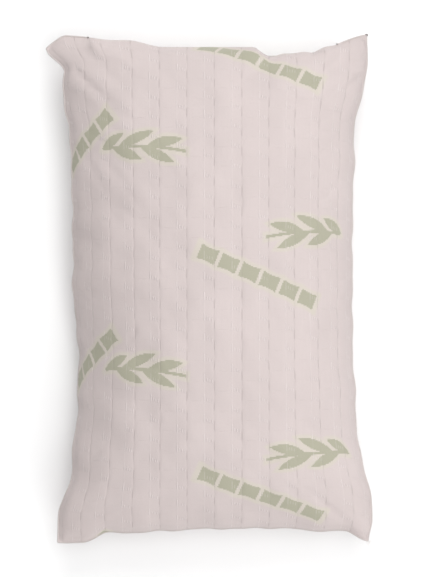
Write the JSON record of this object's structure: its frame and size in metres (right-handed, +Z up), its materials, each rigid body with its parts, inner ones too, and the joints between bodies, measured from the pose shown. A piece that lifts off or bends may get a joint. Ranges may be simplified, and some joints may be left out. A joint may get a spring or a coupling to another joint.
{
  "type": "bed pillow",
  "caption": "Bed pillow: a zipped knitted cover with flared corners round a stitched liner of shredded foam, with a sliding zip pull at one end.",
  "frame": {"origin": "on the surface that the pillow lies on, under its middle", "axes": "+Z up through the pillow's thickness, +Y along its length towards the zipped head end, +X across its width"},
  "size_m": [0.4492, 0.711, 0.16],
  "materials": {
    "cover_knit": "matte ivory-pink knitted jacquard with small pale green and cream motifs",
    "seam_thread": "matte polyester thread",
    "liner_cloth": "plain white woven cloth",
    "label_satin": "blank white satin",
    "shredded_foam": "cream shredded foam",
    "zip_tape": "woven polyester tape",
    "zip_nylon": "off-white nylon",
    "zip_metal": "dull nickel"
  },
  "bodies": {
    "pillow": {"cover_front_panel": "cover_knit", "cover_back_panel": "cover_knit", "cover_seam_left": "seam_thread", "cover_seam_right": "seam_thread", "cover_seam_foot": "seam_thread", "cover_seam_head_left": "seam_thread", "cover_seam_head_right": "seam_thread", "liner_front_panel": "liner_cloth", "liner_back_panel": "liner_cloth", "liner_seam_left": "seam_thread", "liner_seam_right": "seam_thread", "liner_seam_foot": "seam_thread", "liner_seam_head": "seam_thread", "liner_label": "label_satin", "foam_fill": "shredded_foam", "zip_tape_upper": "zip_tape", "zip_tape_lower": "zip_tape", "zip_stitching_upper": "seam_thread", "zip_stitching_lower": "seam_thread", "zip_bartack_left": "seam_thread", "zip_bartack_right": "seam_thread", "zip_chain_upper": "zip_nylon", "zip_chain_lower": "zip_nylon", "zip_top_stop_upper": "zip_metal", "zip_top_stop_lower": "zip_metal", "zip_bottom_stop": "zip_metal"},
    "slider": {"zip_slider_body": "zip_metal"},
    "pull_tab": {"zip_pull_tab": "zip_metal"}
  },
  "joints": [
    {"name": "zip_slider_travel", "type": "slide", "parent": "pillow", "child": "slider", "axis": [-1, 0, 0], "range_m": [0, 0.2814], "deforming": ["zip_chain_upper", "zip_chain_lower"]},
    {"name": "zip_pull_tab_swing", "type": "hinge", "parent": "slider", "child": "pull_tab", "pos_m": [0.13986, 0.3255, 0.072], "axis": [0, 0, -1], "range_deg": [0, 170]}
  ]
}
